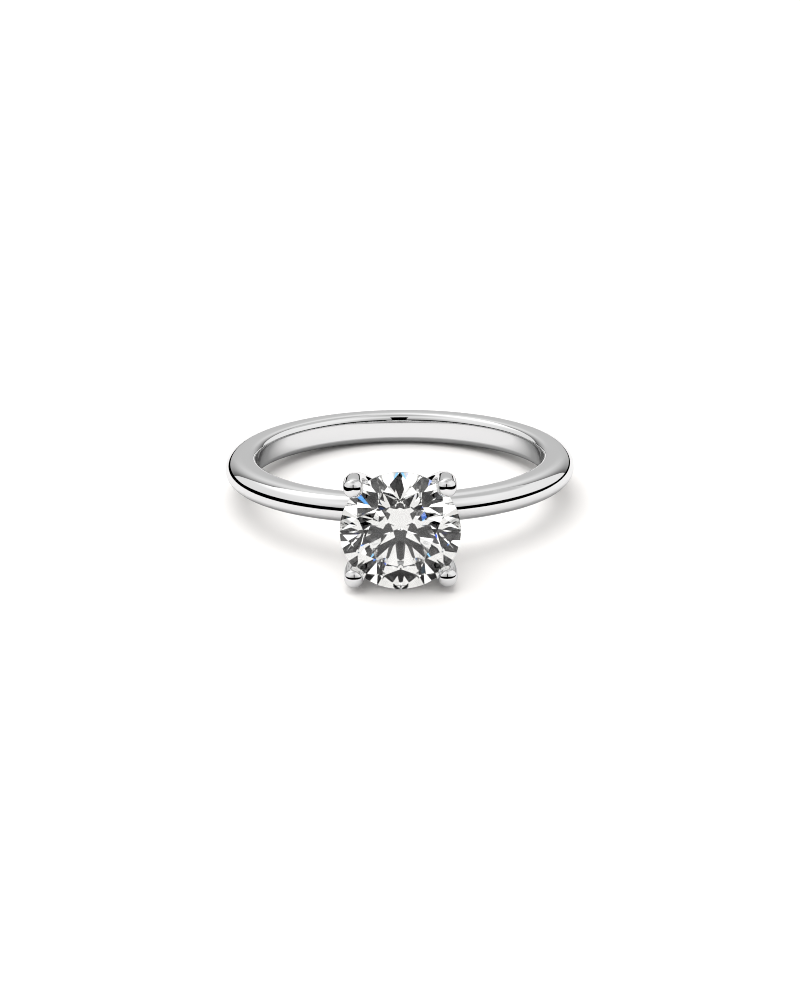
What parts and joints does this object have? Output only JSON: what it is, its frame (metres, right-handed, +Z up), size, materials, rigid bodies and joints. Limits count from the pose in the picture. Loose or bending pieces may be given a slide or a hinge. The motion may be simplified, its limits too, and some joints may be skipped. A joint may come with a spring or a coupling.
{
  "type": "solitaire engagement ring",
  "caption": "Plain half-round precious-metal ring, slimmer at the front, with a round brilliant-cut stone held in a tulip-shaped peg head of round-wire claws.",
  "frame": {"origin": "middle of the finger hole, on its axis", "axes": "the ring lies on its side as it rests on a table: +Z up, -Y out of the stone, +X to the ring's right; the finger axis leans 6.28 degrees from +Z towards +Y, because the girdle is larger than the shank is wide"},
  "size_m": [0.0202, 0.0248, 0.0068],
  "materials": {
    "platinum": "polished platinum or rhodium-plated white gold",
    "diamond": "polished facets, colourless"
  },
  "bodies": {
    "root": {"shank": "platinum", "head_peg": "platinum", "base_ring": "platinum", "gallery_rail": "platinum", "claw_upper_right": "platinum", "claw_upper_left": "platinum", "claw_lower_left": "platinum", "claw_lower_right": "platinum", "diamond": "diamond"}
  },
  "joints": []
}
